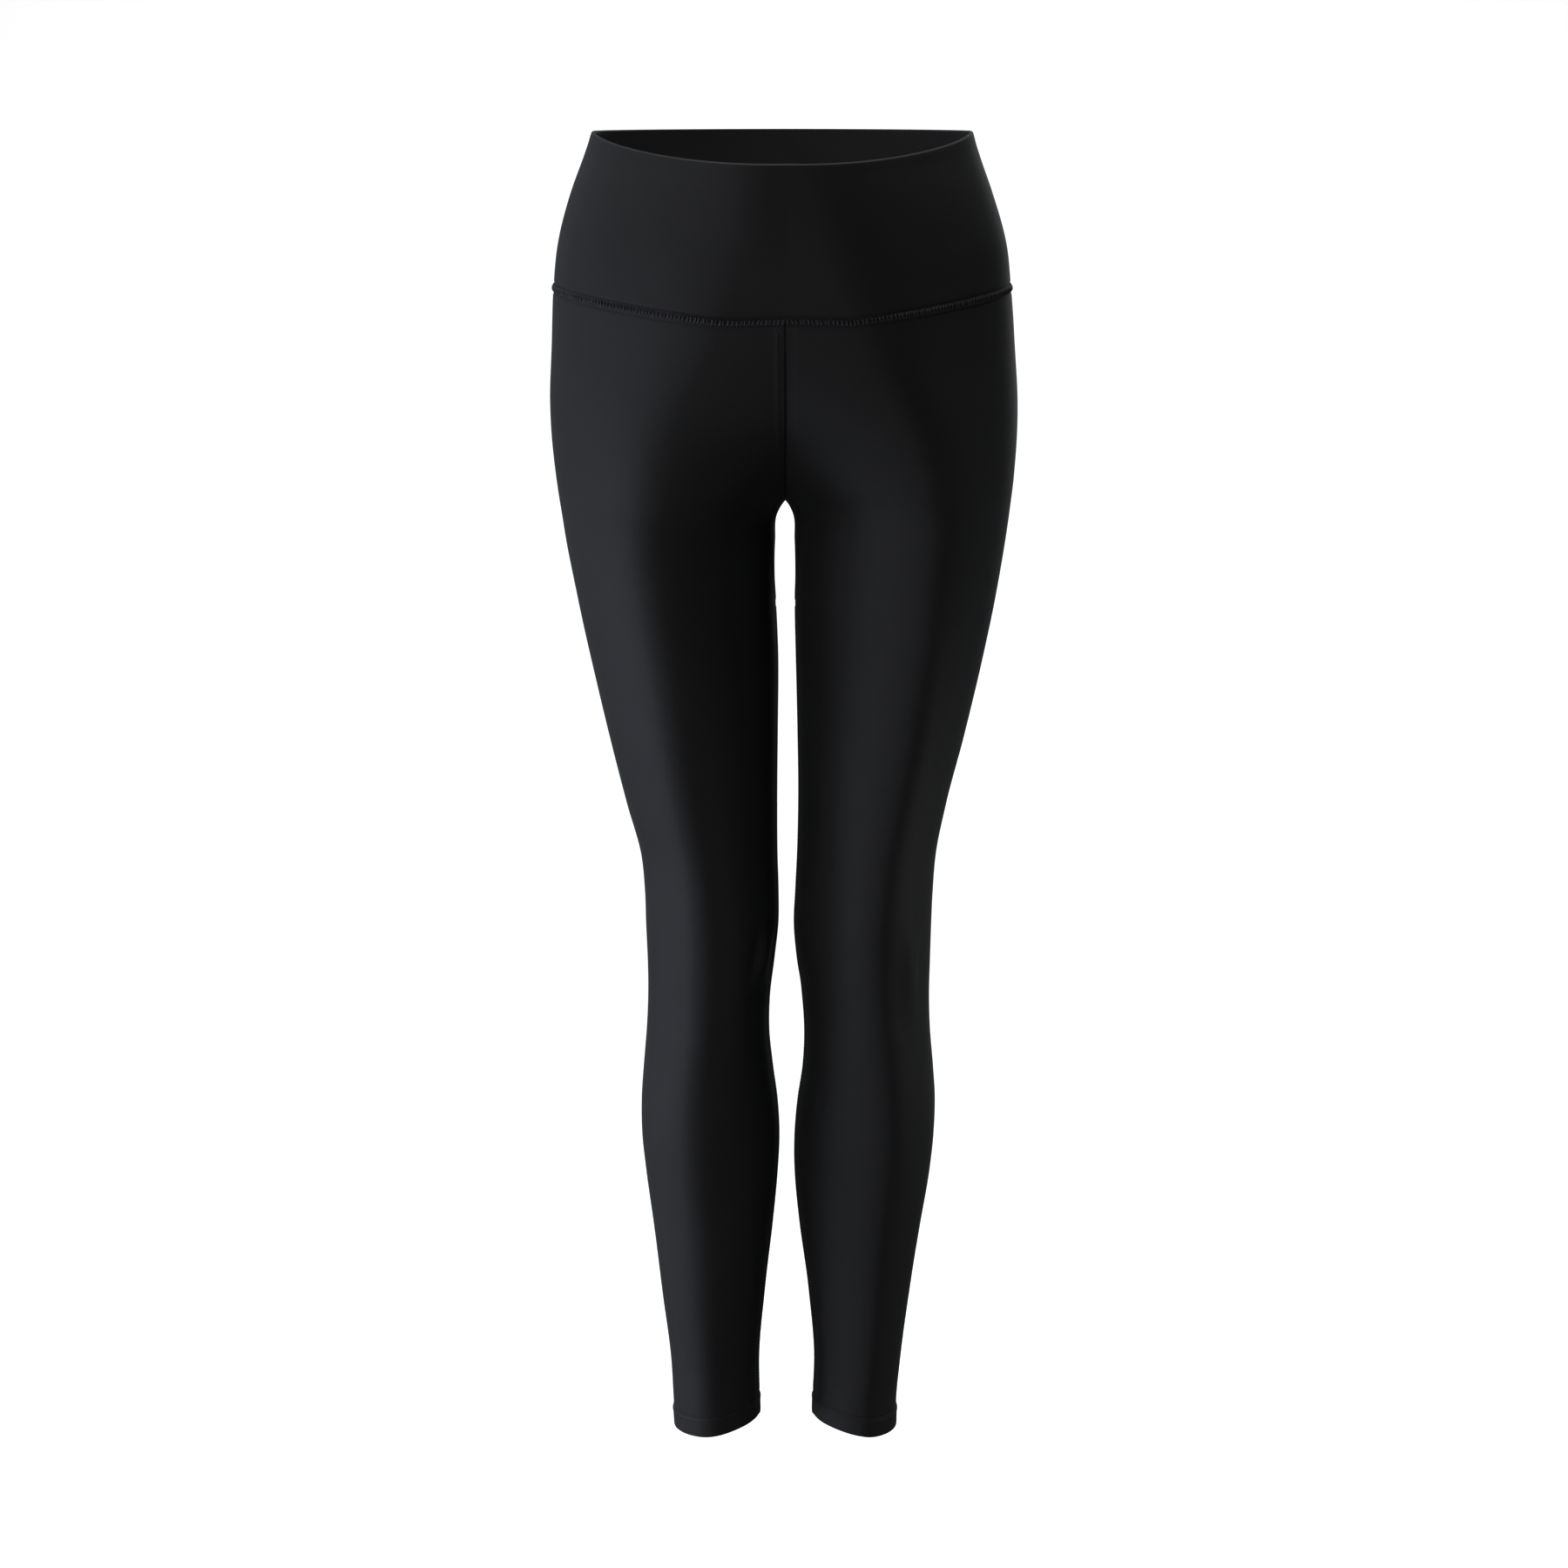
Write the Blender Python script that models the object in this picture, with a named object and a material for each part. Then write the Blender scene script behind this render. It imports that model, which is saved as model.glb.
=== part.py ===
"""High-waist 7/8 leggings of stretch knit, filled out with no wearer.

World frame: metres, +Z up, the front towards -Y, the wearer's left towards +X.
The origin is the middle of the waist opening, level with its back edge, and every height below
is a "drop" in millimetres under it. The centre seams lie in the plane X = 0.

A level cut through the garment is a pair of rings, one for each thigh. A ring is two half ellipses
on one middle: the outer half reaches the outline, and the inner half reaches towards the other leg.
Above the crotch the inner halves pass the middle plane, where the centre seams cut them, so the two
rings make one trunk, and the closer the inner ends are to the plane, the deeper the dip between them.
A place on a ring is its "turn": 0 inner end, 90 front, 180 outer end, 270 back.
"""

import math

import bmesh
import bpy
import numpy as np
from mathutils import Vector

MM = 0.001

# Cloth and construction, mm.
KNIT = 1.2  # one layer of the knit
DOUBLED = 2.4  # the waistband, and the hem where it is turned up
SEAM_GAP = 0.3
BAND_HEIGHT = 104.0  # waistband at the sides
LENGTH = 902.5  # waist to the middle of the hem
HEM_HEIGHT = 14.0

# How far the edges run below a level line at the centre front, and the seam's share of a round dip.
TOP_DIP = 20.0
SEAM_DIP = 17.7
SEAM_ROUND = 0.65
DIP_END = 205.0

# The hems lean out and forwards, and the lean starts below the knee.
HEM_OUT = 4.2
HEM_FORWARD = 3.8
LEAN_START = 640.0

# How far the fronts of the legs are turned to the left, as a share of their width.
STANCE = 0.03

# How much flatter than half an ellipse the band, thighs and shins are to each side of their front.
FLANK = 0.10

# Where the rows are close together for the folds round the knee.
KNEE_TOP = 520.0
KNEE_END = 640.0

# The gusset's tips, as drops: on the centre front, on the centre back and down each inner thigh.
TIP_FRONT = 242.0
TIP_BACK = 218.0
TIP_THIGH = 316.0

# The seat: drop, reach of the outline to each side, the front, widest line and back as Y, the
# middle of the thigh's round as a share of the reach, and how far the front and back are drawn in
# between the thighs, from 0 for not at all to 1 where the two rings part.
SEAT = (
    # drop, right, left, front, side, back, middle, front_in, back_in
    (0, 128.8, 124.6, -94, 0, 94, 0.05, 0.05, 0.05),
    (17, 134.8, 130.2, -98, 0, 95, 0.07, 0.05, 0.08),
    (40, 143.4, 138.5, -103, 0, 97, 0.10, 0.06, 0.10),
    (75, 152.8, 148.5, -107, 1, 102, 0.15, 0.08, 0.14),
    (104, 156.1, 151.8, -107, 3, 108, 0.22, 0.06, 0.20),
    (145, 158.0, 155.1, -104, 6, 117, 0.33, 0.13, 0.33),
    (181, 159.4, 157.3, -100, 8, 121, 0.45, 0.30, 0.47),
    (205, 158.5, 157.2, -96, 8, 120, 0.52, 0.52, 0.59),
    (224, 156.6, 156.0, -93, 7, 116, 0.56, 0.70, 0.72),
    (239, 154.6, 154.6, -91, 6, 111, 0.58, 0.88, 0.86),
    (248, 153.2, 153.4, -90, 5, 107, 0.595, 1.0, 1.0),
)

# The legs: drop, outer and inner outline of each leg, the front, widest line and back as Y, and the
# share of the width, from the inner outline, at which the front and back stand out furthest.
LEGS = (
    # drop, right_out, right_in, left_in, left_out, front, side, back, ridge
    (256, 151.9, 5.0, 4.7, 152.3, -89.5, 4, 103, 0.60),
    (275, 148.9, 6.8, 6.2, 149.5, -88.5, 1, 94, 0.605),
    (310, 142.1, 7.0, 6.8, 143.7, -87, -2, 83, 0.605),
    (358, 131.9, 5.5, 8.0, 134.0, -84, -5, 73, 0.60),
    (406, 121.0, 5.9, 9.1, 122.8, -79, -7, 63, 0.60),
    (455, 108.9, 6.3, 9.6, 110.4, -72, -8, 55, 0.595),
    (491, 99.2, 6.1, 8.8, 103.6, -67, -8, 49, 0.585),
    (516, 96.9, 5.4, 7.6, 101.8, -64, -8, 46, 0.575),
    (540, 96.2, 5.5, 6.6, 100.9, -61, -8, 44, 0.565),
    (565, 95.3, 8.1, 8.7, 100.2, -57, -6, 45, 0.56),
    (591, 95.3, 11.3, 12.2, 99.9, -53, -2, 48, 0.565),
    (617, 96.6, 11.9, 13.9, 101.0, -49, 2, 54, 0.58),
    (644, 98.9, 9.4, 12.9, 103.4, -45, 7, 60, 0.60),
    (670, 100.8, 6.1, 9.3, 105.1, -42, 10, 63, 0.615),
    (695, 100.6, 4.8, 7.2, 104.4, -39, 10, 62, 0.62),
    (720, 98.1, 5.9, 7.2, 101.8, -36, 10, 59, 0.62),
    (758, 93.2, 9.4, 10.6, 95.5, -32.5, 8, 50, 0.61),
    (809, 86.9, 15.2, 17.3, 87.7, -29, 6, 42, 0.60),
    (860, 80.9, 19.2, 21.1, 81.3, -27, 6, 38, 0.59),
    (886, 79.5, 18.8, 20.1, 78.9, -27, 6, 38, 0.58),
    (910, 78.2, 18.3, 19.6, 78.4, -27, 6, 39, 0.58),
)

# The largest folds, all soft troughs: leg, drop and turn of the middle, how the trough leans,
# half its length in degrees of turn, half its width and its depth.
FOLDS = (
    # leg, drop, turn, lean, half_turn, half_width, depth
    (-1, 566, 28, 46, 34, 11, 1.9),
    (1, 570, 22, -34, 38, 12, 1.7),
    (-1, 556, 262, 10, 52, 9, 2.2),
    (-1, 584, 286, -16, 44, 10, 1.8),
    (1, 560, 284, -12, 50, 10, 2.1),
    (1, 588, 258, 14, 42, 9, 1.8),
    (-1, 264, 262, 16, 38, 12, 2.4),
    (1, 268, 258, 18, 36, 11, 2.3),
)

RIGHT, LEFT = -1, 1

# Mesh.
SAMPLES = 90
QUARTER_COLUMNS = 14
BAND_ROWS = 8
GUSSET_COLUMNS = 8
CROWDING = 1.8  # brings the gusset's columns closer together where it bends over the middle
GUSSET_TIP_CUT = 3.0
EDGE_ANGLES = (25, 50, 90)


def smooth(share):
    share = min(1.0, max(0.0, share))
    return share * share * (3 - 2 * share)


def ring_rows(leg):
    """Both tables as one list for a leg: drop, middle, outer reach, drawn in front and back, and depths."""
    rows = []
    for drop, right, left, front, side, back, middle, front_in, back_in in SEAT:
        reach = right if leg == RIGHT else left
        middle = (middle + STANCE * leg * drop / 248) * reach
        rows.append((drop, middle, reach, front_in, back_in, front, side, back))
    for drop, right_out, right_in, left_in, left_out, front, side, back, ridge in LEGS:
        out, inner = (right_out, right_in) if leg == RIGHT else (left_out, left_in)
        middle = inner + (ridge + STANCE * leg) * (out - inner)
        drawn_in = middle / (middle - inner)
        rows.append((drop, middle, out, drawn_in, drawn_in, front, side, back))
    return np.array(rows)


RINGS = {leg: ring_rows(leg) for leg in (RIGHT, LEFT)}
SLOPES = {leg: np.gradient(rows, rows[:, 0], axis=0) for leg, rows in RINGS.items()}


def ring(leg, drop):
    """The ring at a drop, on a smooth curve through the rows."""
    rows, slopes = RINGS[leg], SLOPES[leg]
    i = int(np.clip(np.searchsorted(rows[:, 0], drop) - 1, 0, len(rows) - 2))
    step = rows[i + 1, 0] - rows[i, 0]
    t = (drop - rows[i, 0]) / step
    value = (
        (2 * t**3 - 3 * t**2 + 1) * rows[i]
        + (t**3 - 2 * t**2 + t) * step * slopes[i]
        + (3 * t**2 - 2 * t**3) * rows[i + 1]
        + (t**3 - t**2) * step * slopes[i + 1]
    )
    return value[1:]


def fold_depth(leg, drop, turn):
    """How far the folds draw the cloth in at one place."""
    depth = 0.0
    for on_leg, at, middle_turn, lean, half_turn, half_width, deepest in FOLDS:
        along = (math.degrees(turn) - middle_turn + 180) % 360 - 180
        if on_leg != leg or abs(along) > half_turn:
            continue
        across = drop - at - lean * along / half_turn
        run = math.cos(math.pi / 2 * along / half_turn) ** 2
        depth += deepest * run * math.exp(-((across / half_width) ** 2))
    return depth


def flank(s):
    """What the flattening leaves of the depth, by the sine of the turn."""
    return 1 - 4 * FLANK * s**2 * (1 - s**2) if s > 0 else 1.0


def on_ring(leg, drop, turn):
    """A point of the outer surface in mm."""
    middle, reach, front_in, back_in, front, side, back = ring(leg, drop)
    c, s = math.cos(turn), math.sin(turn)
    half_depth = (side - front if s > 0 else back - side) * flank(s)
    drawn_in = front_in if s > 0 else back_in
    half_width = middle / drawn_in if c > 0 else reach - middle
    pull = 1 - fold_depth(leg, drop, turn) / (reach - middle)
    return Vector((leg * (middle - pull * half_width * c), side - pull * half_depth * s, -drop))


def level(drop, turn):
    """The drop of a cloth row at a turn: rows follow the dipped edges above and the leaning hem below."""
    forward = max(0.0, math.sin(turn))
    top = TOP_DIP * forward**1.5
    round_dip = 1 - math.sqrt(1 - min(1.0, forward) ** 2)
    seam = SEAM_DIP * (SEAM_ROUND * round_dip + (1 - SEAM_ROUND) * forward**1.5)
    if drop < BAND_HEIGHT:
        dip = top + (seam - top) * drop / BAND_HEIGHT
    else:
        dip = seam * (1 - smooth((drop - BAND_HEIGHT) / (DIP_END - BAND_HEIGHT)))
    lean = HEM_FORWARD * math.sin(turn) - HEM_OUT * math.cos(turn)
    return drop + dip + lean * smooth((drop - LEAN_START) / (LENGTH - LEAN_START))


def place(leg, drop, turn):
    """The point and the outward normal of the cloth on a row at a turn."""
    step = 0.01
    across = on_row(leg, drop, turn + step) - on_row(leg, drop, turn - step)
    down = on_row(leg, drop + step, turn) - on_row(leg, drop - step, turn)
    return on_row(leg, drop, turn), (leg * down.cross(across)).normalized()


def on_row(leg, drop, turn):
    return on_ring(leg, level(drop, turn), turn)


def root(rises_past_zero, low, high):
    """Where a rising function of one number passes zero."""
    for _ in range(40):
        middle = (low + high) / 2
        if rises_past_zero(middle) > 0:
            high = middle
        else:
            low = middle
    return high


def seam_turn(leg, drop, clearance):
    """The turn where a row comes this close to the middle plane at the front."""
    return root(lambda turn: leg * on_row(leg, drop, turn).x - clearance, 0, math.pi / 2)


def back_seam_turn(leg, drop, clearance):
    return -root(lambda turn: leg * on_row(leg, drop, -turn).x - clearance, 0, math.pi / 2)


def crotch_y(drop, front):
    """Y where the two thighs' rounds meet at a drop."""
    _, _, front_in, back_in, front_y, side, back_y = ring(LEFT, drop)
    drawn_in, edge = (front_in, front_y) if front else (back_in, back_y)
    s = math.sqrt(max(0.0, 1 - drawn_in**2))
    return side + (edge - side) * s * (flank(s) if front else 1)


def thigh_tip_y():
    return ring(LEFT, TIP_THIGH)[5]


def gusset_edge_y(drop, front):
    """Y of the gusset's edge, a straight line in the side view from its tip to the one on the thigh."""
    tip = TIP_FRONT if front else TIP_BACK
    share = (TIP_THIGH - drop) / (TIP_THIGH - tip)
    return thigh_tip_y() + (crotch_y(tip, front) - thigh_tip_y()) * share


def turn_at_y(leg, drop, y):
    """The turn of the inner half of a ring at a Y, below 0 at the back."""
    _, _, _, _, front, side, back = ring(leg, drop)
    share = (side - y) / (side - front if y < side else back - side)
    s = share
    for _ in range(30):
        s = max(-1.0, min(1.0, share / flank(s)))
    return math.asin(s)


def leg_turns(leg, drop):
    """The turns where a leg's cloth starts at the front and ends at the back."""
    if drop >= TIP_THIGH:
        return 0.0, 2 * math.pi
    start = seam_turn(leg, drop, SEAM_GAP / 2)
    end = back_seam_turn(leg, drop, SEAM_GAP / 2)
    if drop > TIP_FRONT:
        start = max(start, clear_of_gusset(leg, drop, True))
    if drop > TIP_BACK:
        end = min(end, clear_of_gusset(leg, drop, False))
    return start, 2 * math.pi + end


def clear_of_gusset(leg, drop, front):
    """The turn a seam gap away from the gusset's edge, measured along the row."""
    turn = turn_at_y(leg, drop, gusset_edge_y(drop, front))
    step = 0.01
    length = (on_row(leg, drop, turn + step) - on_row(leg, drop, turn - step)).length
    return turn + (1 if front else -1) * SEAM_GAP * 2 * step / length


def quarter(leg, drop, start, end):
    """Places from one turn to another along a cloth row, the same distance apart."""
    turns = np.linspace(start, end, SAMPLES)
    points = [on_row(leg, drop, turn) for turn in turns]
    lengths = [0.0]
    for a, b in zip(points, points[1:]):
        lengths.append(lengths[-1] + (b - a).length)
    chosen = np.interp(np.linspace(0, lengths[-1], QUARTER_COLUMNS + 1), lengths, turns)
    return [place(leg, drop, turn) for turn in chosen]


def folded_edge(thickness):
    """Rows over a folded edge: distance in from the edge, and the depths of the outer and inner face."""
    radius = thickness / 2
    rows = []
    for angle in EDGE_ANGLES:
        half = radius * math.sin(math.radians(angle))
        inset = radius * (math.cos(math.radians(EDGE_ANGLES[0])) - math.cos(math.radians(angle)))
        rows.append((inset, radius - half, radius + half))
    return rows


def skin(mesh, grid):
    """Quads between the rows of a grid of vertices, facing outwards where its columns run anticlockwise."""
    for upper, lower in zip(grid, grid[1:]):
        for c in range(len(upper) - 1):
            mesh.faces.new((upper[c], lower[c], lower[c + 1], upper[c + 1]))


def wall(name, rows, depths, material, tube_from=None):
    """A closed wall of cloth under a grid of places, with an outer and inner depth for each row.

    From row tube_from on, a row's last place is its first, so the wall closes on itself.
    """
    mesh = bmesh.new()
    faces = []
    for face in (0, 1):
        grid = []
        for r, (row, row_depths) in enumerate(zip(rows, depths)):
            closed = tube_from is not None and r >= tube_from
            made = [
                mesh.verts.new((point - normal * row_depths[face]) * MM)
                for point, normal in (row[:-1] if closed else row)
            ]
            grid.append(made + [made[0]] if closed else made)
        skin(mesh, grid)
        faces.append(grid)
    outer, inner = faces
    rims = [(outer[0], inner[0]), (outer[-1], inner[-1])]
    open_rows = len(rows) if tube_from is None else tube_from + 1
    for column in (0, -1):
        rims.append([[row[column] for row in grid[:open_rows]] for grid in faces])
    for rim in rims:
        for a, b, c, d in zip(rim[0], rim[0][1:], rim[1][1:], rim[1]):
            mesh.faces.new((a, b, c, d))
    bmesh.ops.recalc_face_normals(mesh, faces=mesh.faces)
    data = bpy.data.meshes.new(name)
    mesh.to_mesh(data)
    mesh.free()
    data.materials.append(material)
    data.shade_smooth()
    data.set_sharp_from_angle(angle=math.radians(40))
    bpy.context.scene.collection.objects.link(bpy.data.objects.new(name, data))


def knit_material(name, roughness):
    material = bpy.data.materials.new(name)
    material.use_nodes = True
    shader = material.node_tree.nodes["Principled BSDF"]
    shader.inputs["Base Color"].default_value = (0.012, 0.012, 0.015, 1)
    shader.inputs["Roughness"].default_value = roughness
    shader.inputs["Metallic"].default_value = 0.0
    return material


def build_waistband():
    """Two bands folded double at the top, joined at the sides where the garment is widest."""
    material = knit_material("band_knit", 0.5)
    edge = folded_edge(DOUBLED)
    straight = list(np.linspace(edge[-1][0], BAND_HEIGHT - SEAM_GAP / 2, BAND_ROWS)[1:])
    drops = [drop for drop, _, _ in edge] + straight
    depths = [row[1:] for row in edge] + [(0.0, DOUBLED)] * len(straight)
    front_rows, back_rows = [], []
    for drop in drops:
        front, back = {}, {}
        for leg in (RIGHT, LEFT):
            side_gap = SEAM_GAP / 2 / (ring(leg, drop)[5] - ring(leg, drop)[4])
            front[leg] = quarter(leg, drop, seam_turn(leg, drop, 0), math.pi - side_gap)
            back[leg] = quarter(leg, drop, math.pi + side_gap, 2 * math.pi + back_seam_turn(leg, drop, 0))
        front_rows.append(front[RIGHT][::-1] + front[LEFT][1:])
        back_rows.append(back[LEFT] + back[RIGHT][::-1][1:])
    wall("waistband_front", front_rows, depths, material)
    wall("waistband_back", back_rows, depths, material)


def fork_drops():
    """The rows that the gusset shares with the legs, with a short one just inside each tip."""
    back = [TIP_BACK, TIP_BACK + GUSSET_TIP_CUT, (TIP_BACK + TIP_FRONT) / 2]
    front = [TIP_FRONT, TIP_FRONT + GUSSET_TIP_CUT]
    return back + front + list(np.linspace(front[-1], TIP_THIGH, 7)[1:])


def build_leg(leg, name):
    """One piece from the waistband to the hem, open to the gusset above and a tube below it."""
    seat = np.linspace(BAND_HEIGHT + SEAM_GAP / 2, TIP_BACK, 8)[:-1]
    fork = fork_drops()
    thigh = np.linspace(TIP_THIGH, KNEE_TOP, 9)[1:]
    knee = np.linspace(KNEE_TOP, KNEE_END, 10)[1:]
    calf = np.linspace(KNEE_END, LENGTH - HEM_HEIGHT, 10)[1:]
    single = [*seat, *fork, *thigh, *knee, *calf]
    tube_from = len(seat) + len(fork) - 1
    edge = folded_edge(DOUBLED)[::-1]
    drops = single + [LENGTH - HEM_HEIGHT + KNIT] + [LENGTH - up for up, _, _ in edge]
    depths = [(0.0, KNIT)] * len(single) + [(0.0, DOUBLED)] + [row[1:] for row in edge]
    rows = []
    for drop in drops:
        start, end = leg_turns(leg, drop)
        row = quarter(leg, drop, start, math.pi) + quarter(leg, drop, math.pi, end)[1:]
        rows.append(row if leg == LEFT else row[::-1])
    wall(name, rows, depths, knit_material(name + "_knit", 0.42), tube_from)


def crotch_place(y):
    """The place on the middle plane where the two thighs part at a Y."""
    point, normal = Vector(), Vector()
    for leg in (RIGHT, LEFT):
        found, facing = place(leg, parting_drop(leg, y), turn_at_y(leg, parting_drop(leg, y), y))
        point += found / 2
        normal += facing
    return Vector((0, y, point.z)), Vector((0, normal.y, normal.z)).normalized()


def parting_drop(leg, y):
    return root(lambda drop: leg * on_ring(leg, drop, turn_at_y(leg, drop, y)).x, 150.0, TIP_THIGH)


def build_gusset():
    """A diamond that hangs over the middle like a saddle, its side tips down the inner thighs."""
    drops = fork_drops()
    front = [(drop, gusset_edge_y(drop, True)) for drop in drops if drop > TIP_FRONT]
    back = [(drop, gusset_edge_y(drop, False)) for drop in drops[-2::-1] if drop > TIP_BACK]
    rows = []
    for edge_drop, y in front + back:
        halves = []
        for leg in (RIGHT, LEFT):
            top = parting_drop(leg, y)
            places = top + (edge_drop - SEAM_GAP - top) * np.linspace(0, 1, GUSSET_COLUMNS)[1:] ** CROWDING
            halves.append([place(leg, drop, turn_at_y(leg, drop, y)) for drop in places])
        rows.append(halves[0][::-1] + [crotch_place(y)] + halves[1])
    wall("gusset", rows, [(0.0, KNIT)] * len(rows), knit_material("gusset_knit", 0.42))


def main():
    for obj in list(bpy.data.objects):
        bpy.data.objects.remove(obj)
    build_waistband()
    build_leg(RIGHT, "leg_right")
    build_leg(LEFT, "leg_left")
    build_gusset()


main()
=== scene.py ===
"""High-waist leggings of black stretch knit, filled out with no wearer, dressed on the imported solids.

Metres, +Z up, the front towards -Y, the wearer's left towards +X. The origin is the middle of the
waist opening, level with its back edge. Sizes in the sections below are millimetres, and heights
are drops under the origin; a finished point is turned into metres only when it is placed.
"""

import math

import bmesh
import bpy
import numpy as np
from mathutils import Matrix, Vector


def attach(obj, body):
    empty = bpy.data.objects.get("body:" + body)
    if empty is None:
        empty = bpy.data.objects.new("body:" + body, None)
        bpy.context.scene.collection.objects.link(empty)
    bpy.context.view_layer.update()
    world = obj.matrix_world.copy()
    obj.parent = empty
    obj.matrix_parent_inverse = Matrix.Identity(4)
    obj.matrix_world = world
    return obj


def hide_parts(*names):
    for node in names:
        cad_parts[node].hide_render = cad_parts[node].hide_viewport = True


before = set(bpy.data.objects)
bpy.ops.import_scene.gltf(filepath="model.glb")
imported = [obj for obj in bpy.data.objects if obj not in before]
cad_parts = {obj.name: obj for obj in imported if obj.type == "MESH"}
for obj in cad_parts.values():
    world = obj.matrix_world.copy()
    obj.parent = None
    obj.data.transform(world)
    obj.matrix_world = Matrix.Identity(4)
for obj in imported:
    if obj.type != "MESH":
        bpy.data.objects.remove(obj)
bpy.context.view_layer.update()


# --- The legs ------------------------------------------------------------------------------------
# Two mirrored pieces of shiny nylon and elastane knit, each cut in one from the waist seam to the
# hem with no outer side seam. The centre seams, the gusset and the inseam close them, and the hem
# is turned up inside.

MM = 0.001
RIGHT, LEFT = -1, 1
KNIT = 1.1  # the cloth's thickness
LAYERS = 2.3  # two layers, one on the other
SEAM_GAP = 0.02  # the sewn edges meet
BAND_HEIGHT = 104.0
LENGTH = 902.5  # from the waist's back edge to the middle of the hem
HEM_HEIGHT = 14.0
TOP_DIP = 20.0  # how much lower the waist's edge is at the front
SEAM_DIP = 17.7  # how much lower the waist seam is there
DIP_CURVE = 1.5  # how closely a dip keeps to the front
SEAM_ROUND = 0.65  # the share of the seam's dip that is an arc
DIP_END = 205.0  # where the rows are level again
HEM_OUT = 4.2  # how much lower the hem is on its outer side
HEM_FORWARD = 3.8  # how much lower the hem is at its front
LEAN_START = 640.0  # where the rows start to lean towards the hem
TIP_FRONT = 242.0  # the gusset's tips, on the centre seams and on the thighs
TIP_BACK = 218.0
TIP_THIGH = 316.0
STANCE = 0.03  # how far the legs' fronts are turned to the left, as a share of their width
FLANK = 0.10  # how much flatter than an ellipse the front is to each side
STEP = 0.01  # between the points that a slope is measured from

SEAT = (
    # drop, right, left, front, side, back, middle, front_in, back_in
    (0, 128.8, 124.6, -94, 0, 94, 0.05, 0.05, 0.05),
    (17, 134.8, 130.2, -98, 0, 95, 0.07, 0.05, 0.08),
    (40, 143.4, 138.5, -103, 0, 97, 0.10, 0.06, 0.10),
    (75, 152.8, 148.5, -107, 1, 102, 0.15, 0.08, 0.14),
    (104, 156.1, 151.8, -107, 3, 108, 0.22, 0.06, 0.20),
    (145, 158.0, 155.1, -104, 6, 117, 0.33, 0.13, 0.33),
    (181, 159.4, 157.3, -100, 8, 121, 0.45, 0.30, 0.47),
    (205, 158.5, 157.2, -96, 8, 120, 0.52, 0.52, 0.59),
    (224, 156.6, 156.0, -93, 7, 116, 0.56, 0.70, 0.72),
    (239, 154.6, 154.6, -91, 6, 111, 0.58, 0.88, 0.86),
    (248, 153.2, 153.4, -90, 5, 107, 0.595, 1.0, 1.0),
)
LEGS = (
    # drop, right_out, right_in, left_in, left_out, front, side, back, ridge
    (256, 151.9, 5.0, 4.7, 152.3, -89.5, 4, 103, 0.60),
    (275, 148.9, 6.8, 6.2, 149.5, -88.5, 1, 94, 0.605),
    (310, 142.1, 7.0, 6.8, 143.7, -87, -2, 83, 0.605),
    (358, 131.9, 5.5, 8.0, 134.0, -84, -5, 73, 0.60),
    (406, 121.0, 5.9, 9.1, 122.8, -79, -7, 63, 0.60),
    (455, 108.9, 6.3, 9.6, 110.4, -72, -8, 55, 0.595),
    (491, 99.2, 6.1, 8.8, 103.6, -67, -8, 49, 0.585),
    (516, 96.9, 5.4, 7.6, 101.8, -64, -8, 46, 0.575),
    (540, 96.2, 5.5, 6.6, 100.9, -61, -8, 44, 0.565),
    (565, 95.3, 8.1, 8.7, 100.2, -57, -6, 45, 0.56),
    (591, 95.3, 11.3, 12.2, 99.9, -53, -2, 48, 0.565),
    (617, 96.6, 11.9, 13.9, 101.0, -49, 2, 54, 0.58),
    (644, 98.9, 9.4, 12.9, 103.4, -45, 7, 60, 0.60),
    (670, 100.8, 6.1, 9.3, 105.1, -42, 10, 63, 0.615),
    (695, 100.6, 4.8, 7.2, 104.4, -39, 10, 62, 0.62),
    (720, 98.1, 5.9, 7.2, 101.8, -36, 10, 59, 0.62),
    (758, 93.2, 9.4, 10.6, 95.5, -32.5, 8, 50, 0.61),
    (809, 86.9, 15.2, 17.3, 87.7, -29, 6, 42, 0.60),
    (860, 80.9, 19.2, 21.1, 81.3, -27, 6, 38, 0.59),
    (886, 79.5, 18.8, 20.1, 78.9, -27, 6, 38, 0.58),
    (910, 78.2, 18.3, 19.6, 78.4, -27, 6, 39, 0.58),
)

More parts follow.
